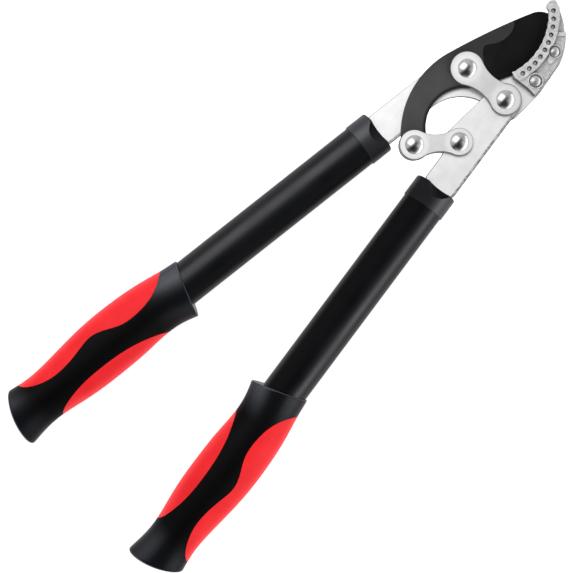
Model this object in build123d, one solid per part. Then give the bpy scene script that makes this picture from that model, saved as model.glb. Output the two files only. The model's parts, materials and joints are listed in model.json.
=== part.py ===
from build123d import *
import math
import os

# ------------------------------------------------------------------ driving sizes
# Millimetres and degrees. The drawing's zero is the main pivot, with +X along the
# middle line between the handles towards the jaws, +Y towards the hook handle and
# +Z towards the front of the tool, where the domed rivet heads are.

main_pivot = (0.0, 0.0)  # the drive lever turns here on the hook arm
blade_pivot = (-3.0, 35.2)  # the blade turns here on the hook arm
tail_pivot = (-68.5, 24.2)  # the links hold the blade's tail here
link_pivot = (-44.6, 2.6)  # the links hold the drive arm here

handle_angle = 7.5  # slope of each handle away from the middle line
hook_axis_height = 39.28  # where the hook handle's axis crosses x = 0
drive_axis_height = 1.46  # where the drive handle's axis crosses x = 0
hook_ferrule_x = -79.3  # front end of the hook handle's ferrule
drive_ferrule_x = -79.0  # front end of the drive handle's ferrule

# Flat plates are stacked in three layers.
arm_thick = 4.0
blade_thick = 3.6
front_plate_thick = 3.0
layer_gap = 0.6  # between the drive arm and the plates in front and behind
washer_play = 0.1  # free height left beside each washer
plate_edge = 0.35  # small bevel on plate edges

middle_top = arm_thick / 2
middle_bottom = -arm_thick / 2
rear_top = middle_bottom - layer_gap
rear_bottom = rear_top - arm_thick
front_bottom = middle_top + layer_gap
front_top = front_bottom + front_plate_thick
link_rear_bottom = rear_top - front_plate_thick
blade_top = blade_thick / 2
blade_bottom = -blade_thick / 2

# Arms: flat bars with round eyes at their pivots.
arm_half_width = 12.4
drive_eye_radius = 12.4
hook_eye_radius = 14.8
arm_lobe_radius = 11.0
lobe_tangent = 91.5  # direction of the straight edge's touching points on lobe and eye
hook_bar_reach = 36.0  # straight part of the hook arm, forward of its ferrule
hook_bay_centre = (-42.4, 1.6)
hook_bay_radius = 32.5
hook_bend = (-24.0, 54.6)  # where the bar's outer edge turns towards the blade pivot
hook_throat_middle = (18.0, 24.0)
hook_tip = (64.6, 8.4)
hook_chin_x = 22.0
drive_filler = ((-62.0, 4.2), (-62.0, -2.0))  # fills the corner behind the lobe
hook_shoulder_radius = 15.4  # round the blade pivot
hook_throat_radius = 50.2  # behind the cutting edge
hook_nose_radius = 46.6  # outside the jaw, round the jaw's outer centre
tang_shoulder = 11.4
tang_half_width = 11.0
tang_length = 54.0
shoulder_length = 2.6

pivot_shank = 4.0
link_shank = 3.5
open_shank = 3.0  # shank of the pivot that is left open
open_play = 1.9  # clearance round it, for the links' swing
running_fit = 0.05
rivet_head = 6.8
rivet_head_height = 3.0
rivet_flange = 0.5
rivet_tail = 6.2
rivet_tail_height = 1.8
washer_radius = 8.6

# Blade: the spine and the inner bay are both round.
spine_centre = (-22.6, -11.5)
spine_radius = 67.0
bay_centre = (-33.5, 6.5)
bay_radius = 28.7
tail_round = 9.8
edge_centre = (33.0, 54.3)  # the cutting edge and the jaw are round about this point
edge_radius = 48.4
edge_back = -109.2  # directions of the edge's two ends
edge_front = -44.5
spine_front = 75
bay_front = 38
blade_corner = (8.1, 12.9)
blade_nose = ((65.0, 25.0), (59.6, 29.3))  # the rounded front end
spine_bend = (28.8, 41.8)
ground_step = 0.3
ground_drop = 0.1  # fall of the ground face for each millimetre towards the edge
ground_start = (30.0, 32.0)
ground_away = (0.37, -0.93)  # direction in which the ground face falls
ground_border = (
    (47.0, 40.0),
    (43.2, 32.4),
    (36.5, 30.3),
    (29.0, 31.3),
    (22.6, 34.9),
    (17.8, 37.4),
    (14.6, 36.0),
    (12.0, 33.2),
)
ground_outside = ((3.0, 21.5), (3.0, 4.0), (40.0, -10.0), (80.0, 10.0), (72.0, 40.0))

# Straps and links: radius of each round end, and half the width of the waist.
strap_ends = (12.1, 11.1)
strap_waist = 7.35
link_ends = (10.7, 9.9)
link_waist = 6.2

# Jaw casting
jaw_inner_radius = 46.8
jaw_outer_centre = (32.24, 33.7)
jaw_outer_radius = 44.8
jaw_ledge = 3.2  # how far the front band hangs over the blade
jaw_band = 8.1
jaw_web_top = 2.0
jaw_band_top = 5.4
jaw_ledge_bottom = 2.3
dimple_centre = (32.7, 51.8)
dimple_ring = 48.8
dimple_radius = 1.75
dimple_floor = 1.0
dimple_depth = 2.0
dimple_count = 10
dimple_first = -102.6
dimple_step = 6.84
scallop_radius = 3.6
scallop_depth = 0.3
jaw_heel_top = 4.5
heel_pad_centre = (19.5, 0.0)
heel_pad_size = (10.4, 30.0)
jaw_rivet_lower = (24.7, -6.2)
jaw_rivet_upper = (49.7, -1.3)
jaw_rivet_shank = 2.4
lower_well = 4.8  # round space for each small rivet's head, inside a raised collar
lower_collar = 5.7
lower_collar_top = 5.0
lower_seat = 3.4
lower_head = (4.5, 2.4)  # radius and height
lower_tail = (4.2, 1.4)
upper_well = 4.3
upper_collar = 5.1
upper_collar_top = 3.2
upper_seat = 2.0
upper_head = (4.0, 2.2)
upper_tail = (3.8, 1.4)
boss_place = (44.0, -3.6)
boss_reach = (3.4, 2.5)
boss_rise = 1.0
rib_inset = 3.4
rib_size = (6.4, 3.0)
rib_rise = 1.3
web_overlap = 0.5  # boss and rib start this far inside the web

# Handles: tube, ferrule and grip share one axis.
handle_level = -2.3  # height of both tube axes
tube_radius = 15.6
tube_wall = 1.2
tube_start = 9.5
tube_end = 280.0
ferrule_radius = 16.35
ferrule_length = 16.7
ferrule_round = 1.3
ferrule_bevel = 0.3
scoop_radius = 12.5
scoop_reach = 7.7
scoop_low = 4.6
scoop_span = 80.0
hook_scoop_shift = -1.2
drive_scoop_shift = 2.4
tang_offset = 2.3  # each tang lies this far in front of or behind the tube axis
pin_radius = 2.0
pin_half_length = 12.5
pin_places = (24.0, 42.0)
insert_overrun = 6.0  # the insert reaches this far past the tang
hook_grip_shift = 0.0
drive_grip_shift = 6.5  # the drive handle shows this much more bare tube
drive_tang_shift = 1.33  # the drive arm's middle line is this far out of the tube axis

inlay_depth = 1.0
inlay_gap = 0.15

# Grip sections along the handle: distance from the ferrule's front end, reach of the
# outer side, reach of the inner side, half thickness.
grip_sections = (
    (164.0, 15.6, 29.5, 17.9),
    (184.0, 18.2, 24.1, 17.5),
    (198.0, 20.2, 20.8, 17.3),
    (212.0, 21.8, 20.3, 17.4),
    (228.0, 22.6, 21.6, 17.6),
    (250.0, 22.4, 22.4, 17.6),
    (272.0, 20.3, 22.2, 17.2),
    (292.0, 17.7, 20.5, 16.6),
    (308.0, 16.7, 19.2, 16.3),
    (322.0, 17.9, 20.4, 16.7),
    (334.0, 19.5, 22.6, 17.2),
    (346.0, 21.3, 24.6, 17.6),
)
rim_outer = (171.6, 17.0)  # the front rim is cut on a slant through these two points
rim_inner = (183.8, -24.5)
dome_centre = (283.3, -14.3)
dome_radius = 52.2
rim_round = 1.0
dome_round = 2.2
grip_bore_start = 100.0  # the grip's bore is cut from well in front of the grip

# Wavy borders of the red panels, from the front rim back.
outer_panel_border = (
    (181.0, 26.0),
    (185.0, 18.4),
    (191.0, 12.4),
    (201.0, 6.8),
    (216.0, 3.8),
    (230.0, 4.7),
    (243.0, 9.6),
    (252.0, 11.4),
    (264.0, 9.2),
    (279.0, 6.0),
    (291.0, 5.6),
    (303.0, 8.2),
    (313.5, 14.0),
    (319.0, 26.0),
)
inner_panel_border = (
    (196.0, -30.0),
    (206.2, -20.8),
    (218.4, -15.8),
    (236.0, -11.9),
    (256.0, -10.6),
    (277.0, -11.5),
    (291.2, -14.2),
    (302.0, -18.2),
    (311.0, -30.0),
)
panel_far = 40.0


# ------------------------------------------------------------------ drawing helpers
def on_circle(centre, radius, angle):
    turn = math.radians(angle)
    return (
        centre[0] + radius * math.cos(turn),
        centre[1] + radius * math.sin(turn),
    )


def arc_about(centre, radius, start, end):
    """An edge on a circle, from one angle to another."""
    return ThreePointArc(
        on_circle(centre, radius, start),
        on_circle(centre, radius, (start + end) / 2),
        on_circle(centre, radius, end),
    )


def meeting_of(first, first_reach, second, second_reach):
    """The point at two given distances from two centres, left of the line between."""
    across = (second[0] - first[0], second[1] - first[1])
    span = math.hypot(*across)
    along = (first_reach**2 - second_reach**2 + span**2) / (2 * span)
    off = math.sqrt(first_reach**2 - along**2)
    return (
        first[0] + (across[0] * along - across[1] * off) / span,
        first[1] + (across[1] * along + across[0] * off) / span,
    )


def angle_from(centre, point):
    """The direction of a point from a centre, in degrees from 0 to 360."""
    turn = math.degrees(math.atan2(point[1] - centre[1], point[0] - centre[0]))
    return turn % 360


def face_of(*edges):
    """A flat face inside edges that follow each other, closed with straight lines."""
    chain = []
    for index, edge in enumerate(edges):
        chain.append(edge)
        here = edge @ 1
        after = edges[(index + 1) % len(edges)] @ 0
        if (here - after).length > 1e-4:
            chain.append(Line(here, after))
    return make_face(Wire(chain))


def spread(face, low, high):
    """A plate of the face's outline between two heights."""
    return extrude(Pos(0, 0, low) * face, amount=high - low, dir=(0, 0, 1))


def disc(centre, radius, low, high):
    return Pos(centre[0], centre[1], low) * Cylinder(
        radius, high - low, align=(Align.CENTER, Align.CENTER, Align.MIN)
    )


def ring(centre, inner, outer, low, high):
    return disc(centre, outer, low, high) - disc(centre, inner, low - 1, high + 1)


def bevelled(face, low, high):
    """A plate whose outline has a small bevel in front and behind."""
    core = spread(face, low + plate_edge, high - plate_edge)
    rim = core.faces().sort_by(Axis.Z)[-1]
    front = extrude(rim, amount=plate_edge, taper=45)
    back = mirror(front, about=Plane.XY.offset((low + high) / 2))
    return core + front + back


def waisted_face(first, first_radius, second, second_radius, half_waist):
    """Two round ends joined by sides that curve inwards to a narrow waist."""
    length = math.dist(first, second)
    along = ((second[0] - first[0]) / length, (second[1] - first[1]) / length)
    across = (-along[1], along[0])

    def reach_error(side_radius):
        height = half_waist + side_radius
        near = math.sqrt((first_radius + side_radius) ** 2 - height**2)
        far = math.sqrt((second_radius + side_radius) ** 2 - height**2)
        return near + far - length

    low, high = 0.1, 1000.0
    for _ in range(60):
        middle = (low + high) / 2
        if reach_error(middle) > 0:
            high = middle
        else:
            low = middle
    side = (low + high) / 2
    height = half_waist + side
    near = math.sqrt((first_radius + side) ** 2 - height**2)

    def place(distance, offset):
        return (
            first[0] + along[0] * distance + across[0] * offset,
            first[1] + along[1] * distance + across[1] * offset,
        )

    def touch(end, end_radius, sign):
        share = end_radius / (end_radius + side)
        middle = place(near, sign * height)
        return (
            end[0] + (middle[0] - end[0]) * share,
            end[1] + (middle[1] - end[1]) * share,
        )

    return face_of(
        ThreePointArc(
            touch(first, first_radius, 1),
            place(-first_radius, 0),
            touch(first, first_radius, -1),
        ),
        ThreePointArc(
            touch(first, first_radius, -1),
            place(near, -half_waist),
            touch(second, second_radius, -1),
        ),
        ThreePointArc(
            touch(second, second_radius, -1),
            place(length + second_radius, 0),
            touch(second, second_radius, 1),
        ),
        ThreePointArc(
            touch(second, second_radius, 1),
            place(near, half_waist),
            touch(first, first_radius, 1),
        ),
    )


def dome_arc(radius, height, base, sign):
    """Round outline of a rivet head, from its crown out to its rim."""
    ball = (radius**2 + height**2) / (2 * height)
    half = radius / 2
    rise = math.sqrt(ball**2 - half**2) - (ball - height)
    return ThreePointArc(
        (0, base + sign * height), (half, base + sign * rise), (radius, base)
    )


def rivet(centre, shank, low, high, head, head_height, tail, tail_height):
    """A shank with a domed head in front and a flatter peened head behind."""
    crown = dome_arc(head, head_height - rivet_flange, high + rivet_flange, 1)
    foot = dome_arc(tail, tail_height - rivet_flange, low - rivet_flange, -1)
    profile = make_face(
        Wire(
            [
                crown,
                Line((head, high + rivet_flange), (head, high)),
                Line((head, high), (shank, high)),
                Line((shank, high), (shank, low)),
                Line((shank, low), (tail, low)),
                Line((tail, low), (tail, low - rivet_flange)),
                foot,
                Line((0, low - tail_height), (0, high + head_height)),
            ]
        )
    )
    turned = revolve(Plane.XZ * profile, Axis.Z)
    return Pos(centre[0], centre[1], 0) * turned


# ------------------------------------------------------------------ steel plates
def hook_start():
    slope = math.tan(math.radians(handle_angle))
    return (hook_ferrule_x, hook_axis_height - slope * hook_ferrule_x)


def drive_start():
    slope = math.tan(math.radians(handle_angle))
    return (drive_ferrule_x, drive_axis_height + slope * drive_ferrule_x)


def handle_spot(start, outward, along, out):
    """A point given along and out from a handle's axis, from its ferrule's front."""
    turn = math.radians(handle_angle)
    return (
        start[0] - math.cos(turn) * along + math.sin(turn) * out,
        start[1] + outward * (math.sin(turn) * along + math.cos(turn) * out),
    )


def arm_bar(start, outward, shift, reach):
    """The straight part of an arm, which narrows a little where it meets the ferrule."""
    corners = []
    for side in (outward, -outward):
        stops = (
            (-reach, arm_half_width),
            (-shoulder_length, arm_half_width),
            (0.0, tang_shoulder),
        )
        for along, out in stops[:: side * outward]:
            corners.append(handle_spot(start, outward, along, shift + side * out))
    return make_face(Polyline(*corners, close=True))


def arm_tang(start, outward, shift, low, high):
    """The narrower end of an arm, hidden inside the ferrule and the tube."""
    corners = [
        handle_spot(start, outward, along, shift + out)
        for along, out in (
            (-shoulder_length, -tang_half_width),
            (-shoulder_length, tang_half_width),
            (tang_length, tang_half_width),
            (tang_length, -tang_half_width),
        )
    ]
    return spread(make_face(Polyline(*corners, close=True)), low, high)


def make_hook_arm():
    """The long rear plate: tang, both pivots, and the seat of the hook jaw."""
    start = hook_start()
    bar = arm_bar(start, 1, 0.0, hook_bar_reach)
    bar_high = handle_spot(start, 1, -hook_bar_reach, arm_half_width)
    bar_low = handle_spot(start, 1, -hook_bar_reach, -arm_half_width)
    shoulder_start = on_circle(blade_pivot, hook_shoulder_radius, 78)
    shoulder_end = on_circle(blade_pivot, hook_shoulder_radius, 12)
    throat = on_circle(edge_centre, hook_throat_radius, -104)
    throat_end = on_circle(edge_centre, hook_throat_radius, -56)
    nose_start = on_circle(jaw_outer_centre, hook_nose_radius, -42)
    nose_end = on_circle(jaw_outer_centre, hook_nose_radius, -72)
    chin = (hook_chin_x, -hook_eye_radius)
    eye_start = on_circle(main_pivot, hook_eye_radius, 138)
    bay_middle = on_circle(hook_bay_centre, hook_bay_radius, 50)
    bay_end = on_circle(hook_bay_centre, hook_bay_radius, 92)
    body = face_of(
        Line(bar_high, hook_bend),
        Line(hook_bend, shoulder_start),
        arc_about(blade_pivot, hook_shoulder_radius, 78, 12),
        ThreePointArc(shoulder_end, hook_throat_middle, throat),
        arc_about(edge_centre, hook_throat_radius, -104, -56),
        Line(throat_end, hook_tip),
        Line(hook_tip, nose_start),
        arc_about(jaw_outer_centre, hook_nose_radius, -42, -72),
        Line(nose_end, chin),
        Line(chin, (0.0, -hook_eye_radius)),
        arc_about(main_pivot, hook_eye_radius, 270, 138),
        ThreePointArc(eye_start, bay_middle, bay_end),
        Line(bay_end, bar_low),
    )
    plate = bevelled(bar + body, rear_bottom, rear_top)
    plate += arm_tang(start, 1, 0.0, rear_bottom, rear_top)
    for centre in (main_pivot, blade_pivot):
        plate -= disc(centre, pivot_shank, rear_bottom - 1, rear_top + 1)
    for centre in (jaw_rivet_lower, jaw_rivet_upper):
        plate -= disc(centre, jaw_rivet_shank, rear_bottom - 1, rear_top + 1)
    return plate - tang_pin_holes(place_hook)


def make_drive_arm():
    """The middle plate: tang, lobe for the links and the eye of the main pivot."""
    bar = arm_bar(drive_start(), -1, drive_tang_shift, -drive_ferrule_x)
    lobe = Pos(*link_pivot) * Circle(arm_lobe_radius)
    eye = Circle(drive_eye_radius)
    shoulder = make_face(
        Polyline(
            main_pivot,
            on_circle(main_pivot, drive_eye_radius, lobe_tangent),
            on_circle(link_pivot, arm_lobe_radius, lobe_tangent),
            link_pivot,
            close=True,
        )
    )
    filler = make_face(
        Polyline(
            link_pivot,
            on_circle(link_pivot, arm_lobe_radius, 160),
            *drive_filler,
            close=True,
        )
    )
    face = bar + lobe + eye + shoulder + filler
    plate = bevelled(face, middle_bottom, middle_top)
    plate += arm_tang(drive_start(), -1, drive_tang_shift, middle_bottom, middle_top)
    bore = pivot_shank + running_fit
    slack = open_shank + open_play
    plate -= disc(main_pivot, bore, middle_bottom - 1, middle_top + 1)
    plate -= disc(link_pivot, slack, middle_bottom - 1, middle_top + 1)
    return plate - tang_pin_holes(place_drive)


def make_blade():
    """Crescent blade with a round bay behind its pivot and a long tail."""
    spine_end = on_circle(spine_centre, spine_radius, spine_front)
    tail = meeting_of(
        spine_centre, spine_radius - tail_round, bay_centre, bay_radius + tail_round
    )
    tail_start = angle_from(spine_centre, tail)
    tail_stop = angle_from(bay_centre, tail)
    tip = on_circle(edge_centre, edge_radius, edge_front)
    heel = on_circle(edge_centre, edge_radius, edge_back)
    nose_middle, nose_end = blade_nose
    outline = face_of(
        arc_about(spine_centre, spine_radius, spine_front, tail_start),
        arc_about(tail, tail_round, tail_start, tail_stop + 180),
        arc_about(bay_centre, bay_radius, tail_stop, bay_front),
        Line(on_circle(bay_centre, bay_radius, bay_front), blade_corner),
        Line(blade_corner, heel),
        arc_about(edge_centre, edge_radius, edge_back, edge_front),
        ThreePointArc(tip, nose_middle, nose_end),
        ThreePointArc(nose_end, spine_bend, spine_end),
    )
    blade = bevelled(outline, blade_bottom, blade_top)
    blade -= ground_face_cut()
    bores = ((blade_pivot, pivot_shank), (tail_pivot, link_shank))
    for centre, shank in bores:
        blade -= disc(centre, shank + running_fit, blade_bottom - 1, blade_top + 1)
    return blade


def ground_face_cut():
    """What grinding takes away: a shallow step, then a slope down to the edge."""
    outside = Polyline(ground_border[-1], *ground_outside)
    border = face_of(Spline(*ground_border), *outside.edges())
    away = ground_away
    slope = Plane(
        origin=(*ground_start, blade_top - ground_step),
        x_dir=(away[0], away[1], -ground_drop),
        z_dir=(away[0] * ground_drop, away[1] * ground_drop, 1.0),
    )
    above = slope * Box(240, 240, 20, align=(Align.CENTER, Align.CENTER, Align.MIN))
    step = spread(border, blade_top - ground_step, blade_top + 5)
    return step + (spread(border, blade_bottom - 5, blade_top + 5) & above)


def make_front_strap():
    """Waisted strap that ties the two pivots together in front."""
    face = waisted_face(blade_pivot, strap_ends[0], main_pivot, strap_ends[1], strap_waist)
    plate = bevelled(face, front_bottom, front_top)
    for centre in (blade_pivot, main_pivot):
        plate -= disc(centre, pivot_shank, front_bottom - 1, front_top + 1)
    return plate


def make_link(low, high):
    """One of the two equal waisted links, in front of and behind the middle layer."""
    face = waisted_face(tail_pivot, link_ends[0], link_pivot, link_ends[1], link_waist)
    plate = bevelled(face, low, high)
    plate -= disc(tail_pivot, link_shank, low - 1, high + 1)
    plate -= disc(link_pivot, open_shank, low - 1, high + 1)
    return plate


# ------------------------------------------------------------------ hook jaw casting
def jaw_outline():
    return face_of(
        Spline((17.3, -13.0), (27.0, -11.9), on_circle(jaw_outer_centre, jaw_outer_radius, -83)),
        arc_about(jaw_outer_centre, jaw_outer_radius, -83, -15.4),
        Spline(
            on_circle(jaw_outer_centre, jaw_outer_radius, -15.4),
            (75.6, 24.0),
            (72.6, 26.4),
            (69.4, 25.8),
            on_circle(edge_centre, jaw_inner_radius, -43.2),
        ),
        arc_about(edge_centre, jaw_inner_radius, -43.2, -109.6),
        Line(on_circle(edge_centre, jaw_inner_radius, -109.6), (15.9, 6.3)),
        Line((15.9, 6.3), (17.6, -5.9)),
        Line((17.6, -5.9), (17.3, -13.0)),
    )


def make_hook_jaw():
    """Cast jaw: a web riveted to the hook arm and a raised band over the blade."""
    outline = jaw_outline()
    reach = Pos(*edge_centre) * Circle(jaw_inner_radius + jaw_band)
    overhang = Pos(*edge_centre) * Circle(jaw_inner_radius + jaw_ledge)
    web_face = outline - overhang
    band_face = outline & reach
    heel_pad = Pos(*heel_pad_centre) * Rectangle(*heel_pad_size)
    heel_face = (outline & heel_pad) - overhang
    web = spread(web_face, rear_top, jaw_web_top)
    band = spread(band_face, jaw_ledge_bottom, jaw_band_top)
    root = spread(band_face - overhang, rear_top, jaw_band_top)
    heel = spread(heel_face, rear_top, jaw_heel_top)
    jaw = web + band + root + heel + jaw_boss() + jaw_rib()
    for centre, well, collar, top, seat in (
        (jaw_rivet_lower, lower_well, lower_collar, lower_collar_top, lower_seat),
        (jaw_rivet_upper, upper_well, upper_collar, upper_collar_top, upper_seat),
    ):
        jaw += spread((Pos(*centre) * Circle(collar)) & outline, rear_top, top)
        jaw -= disc(centre, well, seat, jaw_band_top + 1)
    for index in range(dimple_count):
        jaw -= dimple(on_circle(dimple_centre, dimple_ring, dimple_first + index * dimple_step))
    scallop_ring = jaw_inner_radius + scallop_depth - scallop_radius
    for index in range(dimple_count):
        angle = dimple_first + (index - 0.5) * dimple_step
        spot = on_circle(edge_centre, scallop_ring, angle)
        jaw -= disc(spot, scallop_radius, jaw_ledge_bottom - 1, jaw_band_top + 1)
    for centre in (jaw_rivet_lower, jaw_rivet_upper):
        jaw -= disc(centre, jaw_rivet_shank, rear_top - 1, jaw_band_top + 1)
    return jaw


def dimple(spot):
    """A tapered pit, drawn a little past the band's face so that it cuts through it."""
    over = 0.2
    wide = dimple_radius + over * (dimple_radius - dimple_floor) / dimple_depth
    pit = Cone(
        dimple_floor, wide, dimple_depth + over,
        align=(Align.CENTER, Align.CENTER, Align.MIN),
    )
    return Pos(spot[0], spot[1], jaw_band_top - dimple_depth) * pit


def jaw_boss():
    """Small oval boss on the web beside the upper rivet."""
    oval = Pos(*boss_place) * Rot(0, 0, 10) * Ellipse(*boss_reach)
    return spread(oval, jaw_web_top - web_overlap, jaw_web_top + boss_rise)


def jaw_rib():
    """Low rib across the web near the tip."""
    middle = on_circle(jaw_outer_centre, jaw_outer_radius - rib_inset, -45)
    bar = Pos(*middle) * Rot(0, 0, -45) * Rectangle(*rib_size)
    return spread(bar, jaw_web_top - web_overlap, jaw_web_top + rib_rise)


def make_jaw_rivets():
    """Two small rivets that hold the jaw on the hook arm."""
    lower = rivet(
        jaw_rivet_lower, jaw_rivet_shank, rear_bottom, lower_seat, *lower_head, *lower_tail
    )
    upper = rivet(
        jaw_rivet_upper, jaw_rivet_shank, rear_bottom, upper_seat, *upper_head, *upper_tail
    )
    return Compound(children=[lower, upper])


# ------------------------------------------------------------------ pivots
def make_main_rivet():
    return rivet(
        main_pivot, pivot_shank, rear_bottom, front_top,
        rivet_head, rivet_head_height, rivet_tail, rivet_tail_height,
    )


def make_blade_rivet():
    return rivet(
        blade_pivot, pivot_shank, rear_bottom, front_top,
        rivet_head, rivet_head_height, rivet_tail, rivet_tail_height,
    )


def make_tail_rivet():
    return rivet(
        tail_pivot, link_shank, link_rear_bottom, front_top,
        rivet_head, rivet_head_height, rivet_tail, rivet_tail_height,
    )


def make_link_rivet():
    return rivet(
        link_pivot, open_shank, link_rear_bottom, front_top,
        rivet_head, rivet_head_height, rivet_tail, rivet_tail_height,
    )


def make_washers(centre, shank, low_face, high_face):
    """A thin washer on each side of the piece that turns between two plates."""
    behind = ring(centre, shank, washer_radius, rear_top, low_face - washer_play)
    before = ring(centre, shank, washer_radius, high_face + washer_play, front_bottom)
    return Compound(children=[behind, before])


# ------------------------------------------------------------------ handles
# A handle is drawn along +X from the ferrule's front end back to the grip, with +Y
# towards the outside of the tool, and is then placed on either side.
def place_hook(piece):
    flipped = mirror(piece, about=Plane.XZ)
    turn = math.radians(handle_angle)
    seat = Plane(
        origin=(*hook_start(), handle_level),
        x_dir=(-math.cos(turn), math.sin(turn), 0),
        z_dir=(0, 0, 1),
    )
    return seat.location * flipped


def place_drive(piece):
    turn = math.radians(handle_angle)
    seat = Plane(
        origin=(*drive_start(), handle_level),
        x_dir=(-math.cos(turn), -math.sin(turn), 0),
        z_dir=(0, 0, 1),
    )
    return seat.location * piece


def rod(radius, start, end):
    """A round bar along the handle's axis."""
    lying = Plane(origin=(start, 0, 0), x_dir=(0, 1, 0), z_dir=(1, 0, 0))
    bar = Cylinder(radius, end - start, align=(Align.CENTER, Align.CENTER, Align.MIN))
    return lying.location * bar


def make_tube(shift):
    tube = rod(tube_radius, tube_start, tube_end + shift)
    return tube - rod(tube_radius - tube_wall, tube_start - 1, tube_end + shift + 1)


def tang_slot(level, shift, start, end):
    """The space the arm's tang fills inside ferrule and insert."""
    size = 2 * tang_half_width
    return Pos((start + end) / 2, shift, level) * Box(end - start, size, arm_thick)


def make_ferrule(level, shift, scoop_shift):
    """End cap over the tube, with a scoop on each face where the arm comes out."""
    cap = rod(ferrule_radius, 0.0, ferrule_length)
    ends = cap.faces().filter_by(GeomType.PLANE).sort_by(Axis.X)
    cap = fillet(ends[0].edges(), ferrule_round)
    back = cap.faces().filter_by(GeomType.PLANE).sort_by(Axis.X)[-1]
    cap = chamfer(back.edges(), ferrule_bevel)
    cap -= rod(tube_radius, tube_start, ferrule_length + 1)
    cap -= tang_slot(level, shift, -1.0, tube_start + 1.0)
    drop = ferrule_radius - scoop_low
    tilt = math.hypot(scoop_reach, drop)
    along = (-scoop_reach / tilt, 0.0, -drop / tilt)
    middle = (
        scoop_reach + along[2] * scoop_radius,
        scoop_shift,
        ferrule_radius - along[0] * scoop_radius,
    )
    seat = Plane(origin=middle, x_dir=(0, 1, 0), z_dir=along)
    scoop = seat.location * Cylinder(scoop_radius, scoop_span)
    cap -= scoop
    cap -= mirror(scoop, about=Plane.XY)
    return cap


def tang_pins():
    """Cross pins that lock the tang into its insert inside the tube."""
    pins = []
    for place in pin_places:
        pins.append(Pos(place, 0, 0) * Cylinder(pin_radius, 2 * pin_half_length))
    return Compound(children=pins)


def tang_pin_holes(place):
    return place(tang_pins())


def make_insert(level, shift):
    """Plug that fills the tube round the tang."""
    plug = rod(tube_radius - tube_wall, tube_start, tang_length + insert_overrun)
    plug -= tang_slot(level, shift, tube_start - 1.0, tang_length)
    return plug - tang_pins()


# ------------------------------------------------------------------ grips
def grip_skin(shift, inset):
    """The grip's smooth outer surface, or one that lies a little inside it."""
    sections = []
    for place, outer, inner, half_thick in grip_sections:
        middle = (outer - inner) / 2
        seat = Plane(
            origin=(place + shift, middle, 0), x_dir=(0, 0, -1), z_dir=(1, 0, 0)
        )
        wide = (outer + inner) / 2 - inset
        sections.append(seat * Ellipse(half_thick - inset, wide))
    return loft(sections)


def grip_body(shift):
    """The skin cut on a slant at the front and domed at the rear."""
    body = grip_skin(shift, 0.0)
    run = (rim_inner[0] - rim_outer[0], rim_inner[1] - rim_outer[1])
    seat = Plane(
        origin=(rim_outer[0] + shift, rim_outer[1], 0),
        x_dir=(run[0], run[1], 0),
        z_dir=(run[1], -run[0], 0),
    )
    front = seat.location * Box(
        200, 200, 60, align=(Align.CENTER, Align.CENTER, Align.MIN)
    )
    body -= front
    dome = Pos(dome_centre[0] + shift, dome_centre[1], 0) * Sphere(dome_radius)
    head_side = Pos(dome_centre[0] + shift - 150, 0, 0) * Box(300, 120, 120)
    body &= dome + head_side
    return body


def round_grip(body, shift):
    """Rounds the front rim and the rim of the rear dome."""
    front = body.faces().sort_by(Axis.X)[0].edges()
    body = fillet(front, rim_round)
    back = body.faces().sort_by(Axis.X)[-1].edges()
    return fillet(back, dome_round)


def panel_face(border, side, shift, grow):
    """Area seen from the front that one red panel covers."""
    points = [(x + shift, y - side * grow) for x, y in border]
    far = side * panel_far
    return face_of(
        Spline(*points),
        Line(points[-1], (points[-1][0], far)),
        Line((points[-1][0], far), (points[0][0], far)),
    )


def make_panels(shift, inset, grow, body):
    """Both red panels, each wrapping one side of the grip."""
    core = grip_skin(shift, inset)
    panels = []
    for border, side in ((outer_panel_border, 1), (inner_panel_border, -1)):
        block = spread(panel_face(border, side, shift, grow), -panel_far, panel_far)
        panels.append((body & block) - core)
    return panels


def make_grip(shift):
    """Returns the black grip and its red panels."""
    body = round_grip(grip_body(shift), shift)
    pockets = make_panels(shift, inlay_depth + inlay_gap, inlay_gap, body)
    panels = make_panels(shift, inlay_depth, 0.0, body)
    grip = body - rod(tube_radius, grip_bore_start, tube_end + shift)
    for pocket in pockets:
        grip -= pocket
    solids = [max(panel.solids(), key=lambda s: s.volume) for panel in panels]
    return max(grip.solids(), key=lambda s: s.volume), Compound(children=solids)


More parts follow.
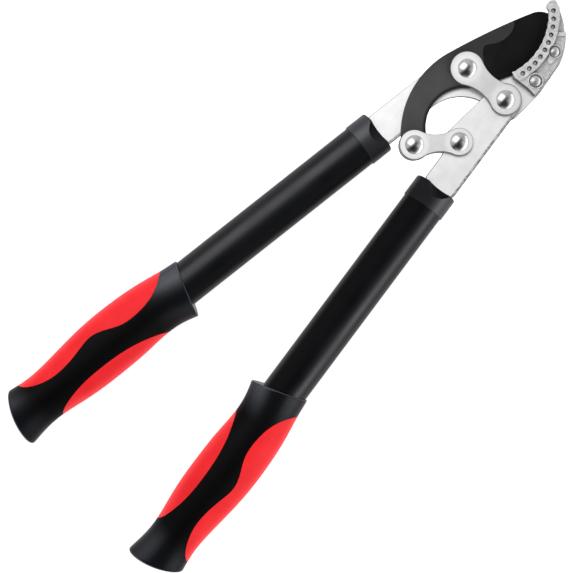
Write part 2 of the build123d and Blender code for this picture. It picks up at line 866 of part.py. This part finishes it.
# ------------------------------------------------------------------ build
def build_all():
    hook_grip, hook_panels = make_grip(hook_grip_shift)
    drive_grip, drive_panels = make_grip(drive_grip_shift)
    pieces = {
        "hook_arm": make_hook_arm(),
        "hook_jaw": make_hook_jaw(),
        "hook_jaw_rivets": make_jaw_rivets(),
        "front_strap": make_front_strap(),
        "main_pivot_rivet": make_main_rivet(),
        "main_pivot_washers": make_washers(main_pivot, pivot_shank, middle_bottom, middle_top),
        "blade_pivot_rivet": make_blade_rivet(),
        "blade_pivot_washers": make_washers(blade_pivot, pivot_shank, blade_bottom, blade_top),
        "hook_ferrule": place_hook(make_ferrule(-tang_offset, 0.0, hook_scoop_shift)),
        "hook_tube": place_hook(make_tube(hook_grip_shift)),
        "hook_tang_insert": place_hook(make_insert(-tang_offset, 0.0)),
        "hook_tang_pins": place_hook(tang_pins()),
        "hook_grip": place_hook(hook_grip),
        "hook_grip_panels": place_hook(hook_panels),
        "drive_arm": make_drive_arm(),
        "drive_ferrule": place_drive(
            make_ferrule(tang_offset, drive_tang_shift, drive_scoop_shift)
        ),
        "drive_tube": place_drive(make_tube(drive_grip_shift)),
        "drive_tang_insert": place_drive(make_insert(tang_offset, drive_tang_shift)),
        "drive_tang_pins": place_drive(tang_pins()),
        "drive_grip": place_drive(drive_grip),
        "drive_grip_panels": place_drive(drive_panels),
        "blade": make_blade(),
        "front_link": make_link(front_bottom, front_top),
        "rear_link": make_link(link_rear_bottom, rear_top),
        "tail_rivet": make_tail_rivet(),
        "tail_washers": make_washers(tail_pivot, link_shank, blade_bottom, blade_top),
        "link_rivet": make_link_rivet(),
        "link_washers": make_washers(link_pivot, open_shank, middle_bottom, middle_top),
    }
    return pieces


def save_all(pieces):
    """Moves the zero to the bottom centre of the whole tool and writes each piece."""
    whole = Compound(children=[Compound(piece.solids()) for piece in pieces.values()])
    box = whole.bounding_box()
    middle_x = (box.min.X + box.max.X) / 2
    middle_y = (box.min.Y + box.max.Y) / 2
    shift = Pos(-middle_x, -middle_y, -box.min.Z)
    os.makedirs("parts", exist_ok=True)
    for name, piece in pieces.items():
        export_step(shift * Compound(children=list(piece.solids())), f"parts/{name}.step")
    print("moved by", -middle_x, -middle_y, -box.min.Z)
    print("size", box.size.X, box.size.Y, box.size.Z)


save_all(build_all())
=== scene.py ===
import json
import math
import bpy
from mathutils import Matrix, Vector


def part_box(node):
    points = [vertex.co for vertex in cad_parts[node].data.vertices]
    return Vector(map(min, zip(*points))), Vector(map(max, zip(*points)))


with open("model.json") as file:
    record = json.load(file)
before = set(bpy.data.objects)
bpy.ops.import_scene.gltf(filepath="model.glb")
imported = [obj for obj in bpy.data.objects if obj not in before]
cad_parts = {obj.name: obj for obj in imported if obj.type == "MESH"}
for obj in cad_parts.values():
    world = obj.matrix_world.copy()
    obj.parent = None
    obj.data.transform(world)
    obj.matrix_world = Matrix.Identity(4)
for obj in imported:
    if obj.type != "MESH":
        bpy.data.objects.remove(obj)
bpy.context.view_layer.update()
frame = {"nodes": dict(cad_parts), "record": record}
nodes = frame["nodes"]
record = frame["record"]

# Lengths are in metres. +X runs to the jaws, +Y to the hook handle and +Z up from the table.

# The picture: straight down on the closed tool, turned on the table.
CAMERA_HEIGHT = 0.950
CAMERA_ASIDE = (-0.0328, -0.0009)
CAMERA_TURN = math.radians(-45.8)
CAMERA_ANGLE = math.radians(25.0)

# The table top, which glows enough to come out white.
TABLE_HALF = 3.0
TABLE_GLOW = 0.90

# Pieces that are lit by boxes of their own.
HOOK_ROD = ("hook_tube", "hook_ferrule")
DRIVE_ROD = ("drive_tube", "drive_ferrule")
PLATES = ("hook_arm", "drive_arm", "front_strap", "front_link", "rear_link")
PIVOT_RIVETS = ("main_pivot_rivet", "blade_pivot_rivet", "tail_rivet", "link_rivet")
RIVETS = PIVOT_RIVETS + ("hook_jaw_rivets",)

# How far the soft boxes stand from the points that they aim at.
LIGHT_DISTANCE = 1.2
MIDDLE = Vector((-0.03, 0.0, 0.0))
HEAD = Vector((0.13, 0.0, 0.0))
FRONT = Vector((0.15, 0.0, 0.0))

# The room that the rivets mirror. Each pair is where a shade starts and ends, by direction.
ROOM_WALL = 0.50
ROOM_OVERHEAD = 0.05
ROOM_OVER_JAWS = 0.40
OVERHEAD_SIDEWAYS = (0.10, 0.45)
OVERHEAD_FORWARDS = (0.35, 0.75)
PATCH_DIRECTION = (-0.38, -0.38, 0.84)
PATCH_EDGE = (0.80, 0.93)
PATCH_SHADE = 0.05

# The blade, read from the frame, and the round bay in its tail, with where the painted shade along
# the bay's edge fades out. BLADE_HEAD is where the coat darkens and GROUND_STEP how far down it
# ends.
BLADE_LOW, BLADE_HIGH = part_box("blade")
BLADE_TOP = BLADE_HIGH[2]
BAY_CENTRE = (BLADE_LOW[0] + 0.0447, BLADE_LOW[1] + 0.0006)
BAY_RADIUS = 0.0287
BAY_PAINTED_SHADE = (0.0012, 0.0027)
BLADE_HEAD = (0.14, 0.19)
GROUND_STEP = (0.00026, 0.00004)

# The jaw's dimpled band stands above its web.
JAW_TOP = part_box("hook_jaw")[1][2]
JAW_BAND = (0.0031, 0.0027)

# Each bar's painted shade line inside one edge: the edge's place across the bar, and where
# the line stops. EDGE_LINE is how far inside the edge the line starts and is full.
HOOK_EDGE, HOOK_EDGE_STOP = -0.0304, -0.128
DRIVE_EDGE, DRIVE_EDGE_STOP = 0.0534, -0.165
EDGE_LINE = (0.0011, 0.0005)
EDGE_FADE = 0.004

# The round eyes of the strap and the links, by distance from their rivets.
EYE = (0.0080, 0.0125)

# Both grips reach from GRIP_BACK to GRIP_FRONT. Their ends carry a painted sheen that makes them
# paler, and are more polished.
GRIP_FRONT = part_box("hook_grip")[1][0]
GRIP_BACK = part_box("hook_grip")[0][0]
SHEEN_AND_WEAR_FRONT = (0.045, 0.012)
SHEEN_AND_WEAR_BACK = (0.010, 0.030)
WORN_POLISH = 0.25
# The painted highlight streak's strength past its peak, on the side away from it and at the back
# ends.
STREAK_PAST, STREAK_LOW, STREAK_BACK = 0.45, 0.22, 0.35

# Each pair is where a tone starts and ends, by how far the surface faces along an axis.
# Steep faces: duller cut edges, deepened by painted shade.
PLATE_FACE = (0.74, 0.95)
GROUND_FACE = (0.85, 0.95)
# The ferrule scoops' painted shade.
SCOOP_FACE = (0.25, 0.5)
# The painted sheen on the red panels' sides.
PANEL_SHEEN = (0.25, 0.85)
# The grips' painted highlight rims.
PAINTED_RIM_STARTS, PAINTED_RIM_ENDS = (0.45, 0.62), (0.74, 0.84)
# The grips' painted highlight streak.
STREAK_RISE, STREAK_FALL = (0.12, 0.50), (0.58, 0.85)
STREAK_LOW_SIDE = (-0.55, -0.20)
STREAK_ENDS = (0.50, 0.70)

# The part of a noise's range that holds nearly all of its values.
MOST = (0.3, 0.7)


def linear(shade):
    """A grey from 0 to 255 as the eye sees it, as light."""
    value = shade / 255
    return value / 12.92 if value <= 0.04045 else ((value + 0.055) / 1.055) ** 2.4


def colour(red, green, blue):
    return (linear(red), linear(green), linear(blue), 1.0)


def grey(shade):
    return colour(shade, shade, shade)


class Nodes:
    """Short calls that add nodes to a tree."""

    def __init__(self, tree):
        self.tree = tree

    def add(self, kind, **settings):
        node = self.tree.nodes.new(kind)
        for key, value in settings.items():
            setattr(node, key, value)
        return node

    def put(self, value, socket):
        """Gives a socket a fixed value, or the output of another node."""
        if isinstance(value, (float, tuple)):
            socket.default_value = value
        else:
            self.tree.links.new(value, socket)

    def axis(self, vector, name):
        """One coordinate of a vector."""
        split = self.add("ShaderNodeSeparateXYZ")
        self.put(vector, split.inputs["Vector"])
        return split.outputs[name]

    def between(self, value, low, high, start=0.0, end=1.0, smooth=False):
        """The value, taken from its own range to another and kept inside it."""
        node = self.add("ShaderNodeMapRange")
        if smooth:
            node.interpolation_type = "SMOOTHSTEP"
        self.put(value, node.inputs["Value"])
        self.put(low, node.inputs["From Min"])
        self.put(high, node.inputs["From Max"])
        self.put(start, node.inputs["To Min"])
        self.put(end, node.inputs["To Max"])
        return node.outputs["Result"]

    def calculate(self, operation, *values):
        node = self.add("ShaderNodeMath", operation=operation)
        for socket, value in zip(node.inputs, values):
            self.put(value, socket)
        return node.outputs["Value"]

    def compare(self, operation, first, second):
        """A number got from two vectors, such as their distance."""
        node = self.add("ShaderNodeVectorMath", operation=operation)
        self.put(first, node.inputs[0])
        self.put(second, node.inputs[1])
        return node.outputs["Value"]


class Finish(Nodes):
    """A node material for one kind of surface."""

    def __init__(self, name, metallic=0.0, specular=0.5):
        self.material = bpy.data.materials.new(name)
        self.material.use_nodes = True
        super().__init__(self.material.node_tree)
        self.shader = self.tree.nodes["Principled BSDF"]
        self.set("Metallic", metallic)
        self.set("Specular IOR Level", specular)
        self.relief = None

    def set(self, socket, value):
        """Gives the shader itself a fixed value."""
        self.shader.inputs[socket].default_value = value

    def coordinates(self, turn=0.0, stretch=(1.0, 1.0, 1.0)):
        """Places on the object, turned about Z and then stretched."""
        turned = self.add("ShaderNodeMapping", vector_type="POINT")
        turned.inputs["Rotation"].default_value = (0.0, 0.0, -turn)
        self.put(self.add("ShaderNodeTexCoord").outputs["Object"], turned.inputs["Vector"])
        scaled = self.add("ShaderNodeMapping", vector_type="POINT")
        scaled.inputs["Scale"].default_value = stretch
        self.put(turned.outputs["Vector"], scaled.inputs["Vector"])
        return scaled.outputs["Vector"]

    def place(self, axis):
        """One coordinate of the place on the object."""
        return self.axis(self.coordinates(), axis)

    def facing(self, axis):
        """How far the surface faces along an axis of the object, from -1 to 1."""
        return self.axis(self.add("ShaderNodeTexCoord").outputs["Normal"], axis)

    def steepness(self, axis):
        """How far the surface faces either way along an axis, from 0 to 1."""
        return self.calculate("ABSOLUTE", self.facing(axis))

    def distance(self, x, y):
        """Distance from an upright line."""
        flat = self.coordinates(stretch=(1.0, 1.0, 0.0))
        return self.compare("DISTANCE", flat, (x, y, 0.0))

    def noise(self, size, detail=3.0, roughness=0.5, where=None):
        """Cloudy values from 0 to 1, whose patches are about size across."""
        node = self.add("ShaderNodeTexNoise")
        node.inputs["Scale"].default_value = 1.0 / size
        node.inputs["Detail"].default_value = detail
        node.inputs["Roughness"].default_value = roughness
        self.put(where or self.coordinates(), node.inputs["Vector"])
        return node.outputs["Fac"]

    def cells(self, size):
        """Distance to the nearest of many scattered points, about size apart."""
        node = self.add("ShaderNodeTexVoronoi")
        node.inputs["Scale"].default_value = 1.0 / size
        self.put(self.coordinates(), node.inputs["Vector"])
        return node.outputs["Distance"]

    def mix(self, share, first, second):
        """Two colours, fixed or from nodes, mixed by a share from 0 to 1."""
        node = self.add("ShaderNodeMix", data_type="RGBA")
        self.put(share, node.inputs[0])
        self.put(first, node.inputs[6])
        self.put(second, node.inputs[7])
        return node.outputs[2]

    def clouded(self, noise, first, second, low=MOST[0], high=MOST[1]):
        """One colour drifting to another with the noise."""
        return self.mix(self.between(noise, low, high), first, second)

    def flecked(self, shade, noise, start, full, most, fleck):
        """Flecks of another colour where the noise is high, up to a largest share."""
        return self.mix(self.between(noise, start, full, end=most), shade, fleck)

    def bump(self, value, depth, strength=0.5):
        """Relief of the given depth, on top of any relief before it."""
        node = self.add("ShaderNodeBump")
        node.inputs["Strength"].default_value = strength
        node.inputs["Distance"].default_value = depth
        self.put(value, node.inputs["Height"])
        if self.relief is not None:
            self.put(self.relief, node.inputs["Normal"])
        self.relief = node.outputs["Normal"]

    def done(self, shade, roughness):
        self.put(shade, self.shader.inputs["Base Color"])
        self.put(roughness, self.shader.inputs["Roughness"])
        if self.relief is not None:
            self.put(self.relief, self.shader.inputs["Normal"])
        return self.material


def paint(material, *names):
    """Gives CAD nodes one material."""
    for name in names:
        slots = nodes[name].data.materials
        slots.clear()
        slots.append(material)


def handle_turn(mount):
    """The direction of a handle on the table, from its grip's mount."""
    axis = next(m["axis"] for m in record["mounts"] if m["name"] == mount)
    return math.atan2(axis[1], axis[0])


def dull_edges_and_painted_shade(look, shade, dark):
    """Steep faces such as cut edges and bevels take a darker colour than flat faces: on plates a
    duller cut edge deepened by painted shade, on the jaw painted shade in its dimples and along its
    walls.
    """
    return look.mix(look.between(look.steepness("Z"), *PLATE_FACE), dark, shade)


def painted_edge_shade(look, shade, turn, edge, stop):
    """Painted shade: a broken dark line just inside one edge of a bar, from the handle as far as
    stop.
    """
    along = look.coordinates(turn)
    start, full = EDGE_LINE
    line = look.calculate(
        "MULTIPLY",
        look.between(look.axis(along, "Y"), edge - start, edge - full),
        look.between(look.axis(along, "X"), stop, stop + EDGE_FADE),
    )
    gaps = look.noise(size=0.0016, roughness=0.6)
    broken = look.between(gaps, 0.38, 0.62, start=0.35)
    return look.mix(look.calculate("MULTIPLY", line, broken), shade, colour(100, 100, 103))


def satin_steel(name, turn, dark, pale, edge, stop):
    """Plated flat bar: nearly white, with fine long polishing lines and a few scuffs."""
    look = Finish(name, metallic=0.35)
    lengthways = look.coordinates(turn, stretch=(0.06, 1.0, 1.0))
    aslant = look.coordinates(turn + 0.5, stretch=(0.2, 1.0, 1.0))
    lines = look.noise(size=0.0009, detail=4.0, roughness=0.6, where=lengthways)
    clouds = look.noise(size=0.010)
    grain = look.noise(size=0.0006, roughness=0.6)
    scuffs = look.noise(size=0.004, detail=6.0, roughness=0.7, where=aslant)
    shade = look.clouded(clouds, dark, pale)
    shade = look.flecked(shade, lines, 0.5, 0.8, most=0.16, fleck=colour(196, 197, 200))
    shade = look.flecked(shade, grain, 0.55, 0.75, most=0.22, fleck=colour(196, 197, 199))
    shade = look.flecked(shade, scuffs, 0.64, 0.72, most=0.2, fleck=colour(176, 177, 180))
    # A painted shade line along one edge of the bar.
    shade = painted_edge_shade(look, shade, turn, edge, stop)
    # Cut edges and bevels: a duller sheared edge, deepened by painted shade.
    shade = dull_edges_and_painted_shade(look, shade, colour(70, 70, 73))
    look.bump(lines, depth=0.00002, strength=0.4)
    look.bump(grain, depth=0.00003, strength=0.4)
    return look.done(shade, look.between(grain, *MOST, start=0.40, end=0.50))


def stamped_steel(name):
    """The strap and the links: greyer plate with a fine sandy grain and paler eyes."""
    look = Finish(name, metallic=0.5)
    grain = look.noise(size=0.0006, detail=4.0, roughness=0.65)
    clouds = look.noise(size=0.007)
    shade = look.clouded(clouds, colour(196, 196, 197), colour(207, 207, 208))
    for rivet in PIVOT_RIVETS:
        low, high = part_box(rivet)
        away = look.distance((low[0] + high[0]) / 2, (low[1] + high[1]) / 2)
        eye = look.between(away, *EYE, start=1.0, end=0.0, smooth=True)
        shade = look.mix(eye, shade, colour(221, 221, 222))
    shade = look.flecked(shade, grain, 0.5, 0.75, most=0.35, fleck=colour(180, 180, 182))
    # Cut edges and bevels: a duller sheared edge, deepened by painted shade.
    shade = dull_edges_and_painted_shade(look, shade, colour(140, 140, 142))
    look.bump(grain, depth=0.00005)
    return look.done(shade, look.between(grain, *MOST, start=0.38, end=0.46))


def polished_rivet(name, metallic, smoothest, roughest):
    """A domed head with faint marks."""
    look = Finish(name, metallic=metallic)
    marks = look.noise(size=0.0022, detail=5.0, roughness=0.6)
    bright, dull = colour(240, 240, 241), colour(205, 205, 208)
    shade = look.flecked(bright, marks, 0.4, 0.7, most=0.4, fleck=dull)
    look.bump(look.noise(size=0.003, detail=2.0), depth=0.00006)
    return look.done(shade, look.between(marks, 0.35, 0.7, smoothest, roughest))


def plain_steel(name, bright):
    """Washers and pins, which hardly show."""
    look = Finish(name, metallic=0.85)
    clouds = look.noise(size=0.004, detail=4.0)
    dull = colour(bright - 20, bright - 20, bright - 18)
    look.bump(look.noise(size=0.0006), depth=0.00003)
    rough = look.between(clouds, *MOST, start=0.35, end=0.5)
    return look.done(look.clouded(clouds, dull, grey(bright)), rough)


def cast_jaw(name):
    """Plated casting: bright on the band, duller on the web and with painted shade on its steep
    faces, in the dimples and along its walls.
    """
    look = Finish(name, metallic=0.45)
    lumps = look.noise(size=0.0022, detail=4.0, roughness=0.6)
    grain = look.noise(size=0.0005, roughness=0.6)
    web = look.clouded(lumps, colour(206, 206, 208), colour(234, 234, 235), 0.35, 0.65)
    band = look.clouded(lumps, colour(218, 218, 219), colour(248, 248, 249), 0.35, 0.65)
    below, above = (JAW_TOP - drop for drop in JAW_BAND)
    shade = look.mix(look.between(look.place("Z"), below, above, smooth=True), web, band)
    shade = look.flecked(shade, grain, 0.55, 0.8, most=0.35, fleck=colour(140, 140, 143))
    # Painted shade: the dimple walls and side walls are coloured dark.
    shade = dull_edges_and_painted_shade(look, shade, colour(78, 78, 80))
    look.bump(lumps, depth=0.00012)
    look.bump(grain, depth=0.00005)
    return look.done(shade, look.between(lumps, *MOST, start=0.28, end=0.40))


def coated_blade(name):
    """Dark coated steel. The ground face in front of the step is nearly black."""
    look = Finish(name)
    look.set("IOR", 1.3)
    grain = look.noise(size=0.0007, detail=4.0, roughness=0.6)
    clouds = look.noise(size=0.02)
    coat = look.clouded(clouds, grey(62), grey(72))
    head = look.between(look.place("X"), *BLADE_HEAD, smooth=True)
    coat = look.mix(head, coat, grey(48))
    coat = look.flecked(coat, grain, 0.5, 0.75, most=0.35, fleck=grey(50))
    # Painted shade: a dark band on the blade along the bay's edge.
    near, far = (BAY_RADIUS + away for away in BAY_PAINTED_SHADE)
    painted_rim = look.between(look.distance(*BAY_CENTRE), near, far, start=1.0, end=0.0)
    coat = look.mix(painted_rim, coat, grey(20))
    under, level = (BLADE_TOP - drop for drop in GROUND_STEP)
    ground = look.calculate(
        "MULTIPLY",
        look.between(look.place("Z"), under, level, start=1.0, end=0.0, smooth=True),
        look.between(look.facing("Z"), *GROUND_FACE),
    )
    dark = look.clouded(clouds, grey(5), grey(11))
    look.bump(grain, depth=0.00004)
    rough = look.between(clouds, *MOST, start=0.42, end=0.52)
    return look.done(look.mix(ground, coat, dark), rough)


def powder_coat(name):
    """Satin black paint on the tubes, with the faint orange peel of powder coat."""
    look = Finish(name)
    look.set("IOR", 1.25)
    clouds = look.noise(size=0.03)
    look.bump(look.noise(size=0.0011), depth=0.00005)
    shade = look.clouded(clouds, colour(9, 10, 14), colour(15, 16, 21))
    return look.done(shade, look.between(clouds, *MOST, start=0.36, end=0.44))


def moulded_plastic(name, dark, pale, ior=1.3, scoop=None):
    """Moulded plastic. Where it faces the jaws, as in a scoop, it may be matt and carry a nearly
    black painted shade.
    """
    look = Finish(name)
    look.set("IOR", ior)
    grain = look.noise(size=0.0006, detail=4.0, roughness=0.6)
    shade = look.clouded(look.noise(size=0.015), dark, pale)
    rough = look.between(grain, *MOST, start=0.40, end=0.52)
    if scoop is not None:
        # Painted shade: faces towards the jaws, as in the scoop, are coloured nearly black.
        scooped = look.between(look.facing("X"), *SCOOP_FACE, smooth=True)
        shade = look.mix(scooped, shade, scoop)
        rough = look.calculate("MAXIMUM", rough, scooped)
    look.bump(grain, depth=0.00006)
    return look.done(shade, rough)


def soft_rubber(name, dark, pale, ior):
    """Grip rubber, with a fine matte grain. Its tone and roughness are still to be joined."""
    look = Finish(name)
    look.set("IOR", ior)
    pores = look.cells(size=0.0007)
    grain = look.noise(size=0.0005, roughness=0.6)
    shade = look.clouded(look.noise(size=0.018, detail=4.0), dark, pale)
    shade = look.flecked(shade, grain, 0.55, 0.8, most=0.25, fleck=dark)
    rough = look.between(grain, *MOST, start=0.48, end=0.60)
    look.bump(pores, depth=0.00005, strength=0.4)
    look.bump(grain, depth=0.00004, strength=0.4)
    return look, shade, rough


def red_rubber(name):
    """The grip panels, with a painted sheen that makes them pinker on their sides."""
    look, shade, rough = soft_rubber(name, colour(222, 28, 34), colour(235, 39, 44), ior=1.2)
    # Painted sheen: the panels turn pinker where they face away from straight up.
    painted_sheen = look.between(look.steepness("Z"), *PANEL_SHEEN, start=1.0, end=0.0, smooth=True)
    return look.done(look.mix(painted_sheen, shade, colour(244, 64, 70)), rough)


def black_rubber(name):
    """The grips: a painted sheen makes both ends paler, and they are more polished there, with a
    painted highlight streak and painted highlight rims.
    """
    look, shade, rough = soft_rubber(name, colour(1, 1, 1), colour(2, 2, 3), ior=1.14)
    place = look.place("X")
    start, full = (GRIP_FRONT - inside for inside in SHEEN_AND_WEAR_FRONT)
    front = look.between(place, start, full, smooth=True)
    full, stop = (GRIP_BACK + inside for inside in SHEEN_AND_WEAR_BACK)
    back = look.between(place, full, stop, start=1.0, end=0.0, smooth=True)
    ends = look.calculate("MAXIMUM", front, back)
    # Painted sheen: the ends are coloured paler; their roughness is also lowered, as by wear.
    shade = look.mix(ends, shade, colour(15, 16, 20))
    rough = look.calculate("SUBTRACT", rough, look.calculate("MULTIPLY", ends, WORN_POLISH))

    # Painted highlight: a pale streak along one side of the grip ends.
    side = look.facing("Y")
    upper = look.calculate(
        "MULTIPLY",
        look.between(side, *STREAK_RISE, smooth=True),
        look.between(side, *STREAK_FALL, start=1.0, end=STREAK_PAST, smooth=True),
    )
    lower = look.between(side, *STREAK_LOW_SIDE, start=STREAK_LOW, end=0.0, smooth=True)
    fainter_back = look.calculate("MULTIPLY", back, STREAK_BACK)
    painted_streak = look.calculate(
        "MULTIPLY",
        look.calculate("MAXIMUM", upper, lower),
        look.calculate("MAXIMUM", front, fainter_back),
    )
    end_on = look.steepness("X")
    sideways = look.between(end_on, *STREAK_ENDS, start=1.0, end=0.0)
    painted_streak = look.calculate("MULTIPLY", painted_streak, sideways)
    shade = look.mix(painted_streak, shade, colour(76, 79, 85))

    # Painted highlight: a pale rim where the ends turn to face along the grip.
    painted_rim = look.calculate(
        "MULTIPLY",
        look.between(end_on, *PAINTED_RIM_STARTS, smooth=True),
        look.between(end_on, *PAINTED_RIM_ENDS, start=1.0, end=0.0),
    )
    return look.done(look.mix(painted_rim, shade, colour(92, 94, 100)), rough)


def finish_nodes():
    hook_turn = handle_turn("hook_lever_hand_grip")
    drive_turn = handle_turn("drive_lever_hand_grip")
    hook_steel = satin_steel(
        "hook_arm_steel", hook_turn, grey(236), grey(247), HOOK_EDGE, HOOK_EDGE_STOP
    )
    drive_steel = satin_steel(
        "drive_arm_steel", drive_turn, colour(232, 232, 233), grey(244), DRIVE_EDGE, DRIVE_EDGE_STOP
    )
    # The ferrule's scoop gets a nearly black painted shade.
    ferrule = moulded_plastic(
        "ferrule_plastic", colour(31, 32, 36), colour(39, 40, 45), ior=1.34, scoop=colour(6, 6, 8)
    )
    insert = moulded_plastic("insert_plastic", grey(80), grey(92))
    paint(hook_steel, "hook_arm")
    paint(drive_steel, "drive_arm")
    paint(stamped_steel("strap_steel"), "front_strap", "front_link", "rear_link")
    paint(polished_rivet("rivet_chrome", 1.0, 0.20, 0.27), *PIVOT_RIVETS)
    paint(polished_rivet("jaw_rivet_steel", 0.6, 0.24, 0.32), "hook_jaw_rivets")
    paint(
        plain_steel("washer_steel", 180),
        "main_pivot_washers", "blade_pivot_washers", "tail_washers", "link_washers",
    )
    paint(plain_steel("pin_steel", 170), "hook_tang_pins", "drive_tang_pins")
    paint(cast_jaw("cast_jaw"), "hook_jaw")
    paint(coated_blade("blade_coating"), "blade")
    paint(powder_coat("tube_paint"), "hook_tube", "drive_tube")
    paint(ferrule, "hook_ferrule", "drive_ferrule")
    paint(insert, "hook_tang_insert", "drive_tang_insert")
    paint(black_rubber("grip_black"), "hook_grip", "drive_grip")
    paint(red_rubber("grip_red"), "hook_grip_panels", "drive_grip_panels")


def add_floor():
    """A plain pale table top at the tool's lowest level."""
    mesh = bpy.data.meshes.new("floor")
    corners = [
        (x * TABLE_HALF, y * TABLE_HALF, 0.0) for x, y in ((-1, -1), (1, -1), (1, 1), (-1, 1))
    ]
    mesh.from_pydata(corners, [], [(0, 1, 2, 3)])
    floor = bpy.data.objects.new("floor", mesh)
    bpy.context.scene.collection.objects.link(floor)
    look = Finish("floor_paint", specular=0.0)
    shade = look.mix(look.noise(size=0.4, detail=2.0), grey(250), grey(254))
    look.set("Emission Color", (1.0, 1.0, 1.0, 1.0))
    look.set("Emission Strength", TABLE_GLOW)
    mesh.materials.append(look.done(shade, 0.9))


def add_box(name, aim, azimuth, rise, power, tall, wide, lit):
    """A soft box that lights the named nodes alone, in watts, degrees and metres."""
    turn, lift = math.radians(azimuth), math.radians(rise)
    across = math.cos(lift)
    direction = Vector((across * math.cos(turn), across * math.sin(turn), math.sin(lift)))
    data = bpy.data.lights.new(name, "AREA")
    data.shape = "RECTANGLE"
    data.size = tall
    data.size_y = wide
    data.energy = power
    lamp = bpy.data.objects.new(name, data)
    lamp.location = aim + LIGHT_DISTANCE * direction
    lamp.rotation_mode = "QUATERNION"
    lamp.rotation_quaternion = (aim - lamp.location).to_track_quat("-Z", "X")
    bpy.context.scene.collection.objects.link(lamp)
    receivers = bpy.data.collections.new(name + "_lights")
    for node in lit:
        receivers.objects.link(nodes[node])
    lamp.light_linking.receiver_collection = receivers


def add_lights():
    """Two boxes each for the tubes, the plates, the rivets and all the other pieces."""
    rods = HOOK_ROD + DRIVE_ROD
    others = [node for node in nodes if node not in PLATES + RIVETS + rods]
    # name, aim, azimuth, rise, power, tall, wide, lit nodes
    for box in (
        ("high_box", MIDDLE, 90.0, 52.0, 11.0, 1.10, 0.40, others),
        ("low_box", MIDDLE, -90.0, 30.0, 9.5, 1.10, 0.40, others),
        ("hook_rod_box", FRONT, 90.0, 52.0, 19.0, 0.95, 0.70, HOOK_ROD),
        ("drive_rod_box", FRONT, -90.0, 23.0, 16.0, 0.50, 0.90, DRIVE_ROD),
        ("plate_key", HEAD, 62.0, 70.0, 3.0, 0.40, 0.40, PLATES),
        ("plate_fill", HEAD, 100.0, 75.0, 4.5, 0.90, 0.90, PLATES),
        ("rivet_high_box", HEAD, 90.0, 56.0, 3.6, 0.95, 1.05, RIVETS),
        ("rivet_low_box", HEAD, -62.0, 27.0, 5.6, 0.50, 3.4, RIVETS),
    ):
        add_box(*box)


def add_world():
    """A grey room, dark overhead and in a patch towards the grips, which the rivets mirror."""
    world = bpy.data.worlds.new("studio")
    world.use_nodes = True
    room = Nodes(world.node_tree)
    background = room.tree.nodes["Background"]
    direction = room.add("ShaderNodeTexCoord").outputs["Generated"]
    overhead = room.between(
        room.axis(direction, "X"), *OVERHEAD_FORWARDS, ROOM_OVERHEAD, ROOM_OVER_JAWS, smooth=True
    )
    sideways = room.calculate("ABSOLUTE", room.axis(direction, "Y"))
    walls = room.between(sideways, *OVERHEAD_SIDEWAYS, overhead, ROOM_WALL, smooth=True)
    nearness = room.compare("DOT_PRODUCT", direction, PATCH_DIRECTION)
    patch = room.between(nearness, *PATCH_EDGE, 1.0, PATCH_SHADE, smooth=True)
    room.put(room.calculate("MULTIPLY", walls, patch), background.inputs["Strength"])
    background.inputs["Color"].default_value = (1.0, 1.0, 1.0, 1.0)
    bpy.context.scene.world = world


def add_camera():
    data = bpy.data.cameras.new("camera")
    data.angle = CAMERA_ANGLE
    camera = bpy.data.objects.new("camera", data)
    camera.location = (*CAMERA_ASIDE, CAMERA_HEIGHT)
    camera.rotation_euler = (0.0, 0.0, CAMERA_TURN)
    bpy.context.scene.collection.objects.link(camera)
    bpy.context.scene.camera = camera


finish_nodes()
add_floor()
add_lights()
add_world()
add_camera()
bpy.context.scene.view_settings.view_transform = "Standard"
